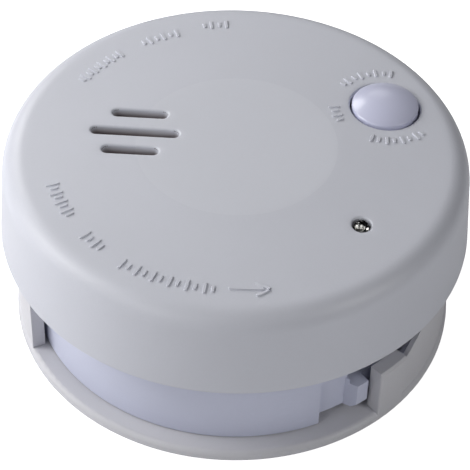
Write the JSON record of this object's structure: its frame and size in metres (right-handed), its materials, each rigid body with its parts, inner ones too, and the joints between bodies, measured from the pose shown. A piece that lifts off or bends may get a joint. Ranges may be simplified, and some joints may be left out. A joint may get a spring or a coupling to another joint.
{
  "type": "smoke detector",
  "caption": "Round ceiling smoke alarm: a domed-edge head with test button, light and sound slots that turn-locks onto a screw-down mounting bracket.",
  "frame": {"origin": "centre of the bracket's mounting face, which is the lowest face", "axes": "+Z from the mounting face towards the cover's top, -Y towards the side where the bracket's wall is left open"},
  "size_m": [0.1, 0.1, 0.0469],
  "materials": {
    "bracket_plastic": "satin moulded, light grey-white",
    "base_plastic": "satin moulded, cool white",
    "cover_plastic": "satin moulded, fine grain",
    "button_plastic": "smooth moulded, bluish white",
    "spring_steel": "bright wire",
    "black_plastic": "matte moulded",
    "led_lens": "clear epoxy",
    "tinned_metal": "tinned",
    "board_laminate": "solder resist on glass laminate",
    "chip_resin": "moulded epoxy",
    "capacitor_sleeve": "shrink sleeve",
    "resistor_body": "lacquered",
    "ferrite": "sintered",
    "sounder_plastic": "moulded",
    "brass": "rolled sheet",
    "ceramic": "silvered ceramic",
    "sensor_resin": "dark tinted epoxy",
    "screen_steel": "etched sheet",
    "screw_steel": "zinc plated",
    "battery_jacket": "printed jacket",
    "terminal_nickel": "nickel plated"
  },
  "bodies": {
    "bracket": {"mounting_bracket": "bracket_plastic"},
    "head": {"base_housing": "base_plastic", "cover": "cover_plastic", "button_spring": "spring_steel", "test_switch": "black_plastic", "status_led": "led_lens", "led_leads": "tinned_metal", "led_spacer": "black_plastic", "circuit_board": "board_laminate", "control_chip": "chip_resin", "capacitors": "capacitor_sleeve", "resistors": "resistor_body", "boost_coil": "ferrite", "sounder_cup": "sounder_plastic", "piezo_pins": "tinned_metal", "piezo_disc": "brass", "piezo_ceramic": "ceramic", "sounder_horn": "sounder_plastic", "chamber_base": "black_plastic", "infrared_emitter": "sensor_resin", "light_receiver": "sensor_resin", "insect_screen": "screen_steel", "chamber_cap": "black_plastic", "battery_contact_positive": "tinned_metal", "battery_contact_negative": "tinned_metal", "cover_screws": "screw_steel", "board_screws": "screw_steel"},
    "button": {"test_button": "button_plastic", "switch_plunger": "black_plastic"},
    "battery": {"battery_case": "battery_jacket", "battery_end_cap": "black_plastic", "battery_terminals": "terminal_nickel"}
  },
  "joints": [
    {"name": "head_turn", "type": "hinge", "parent": "bracket", "child": "head", "pos_m": [0, 0, 0], "axis": [0, 0, 1], "range_deg": [-20, 0]},
    {"name": "button_press", "type": "slide", "parent": "head", "child": "button", "axis": [0, 0, -1], "range_m": [0, 0.0006], "stiffness_N_per_m": 800, "springref_m": -0.0006, "deforming": ["button_spring"]},
    {"name": "battery_out", "type": "slide", "parent": "head", "child": "battery", "axis": [0, 0, -1], "range_m": [0, 0.024]}
  ]
}
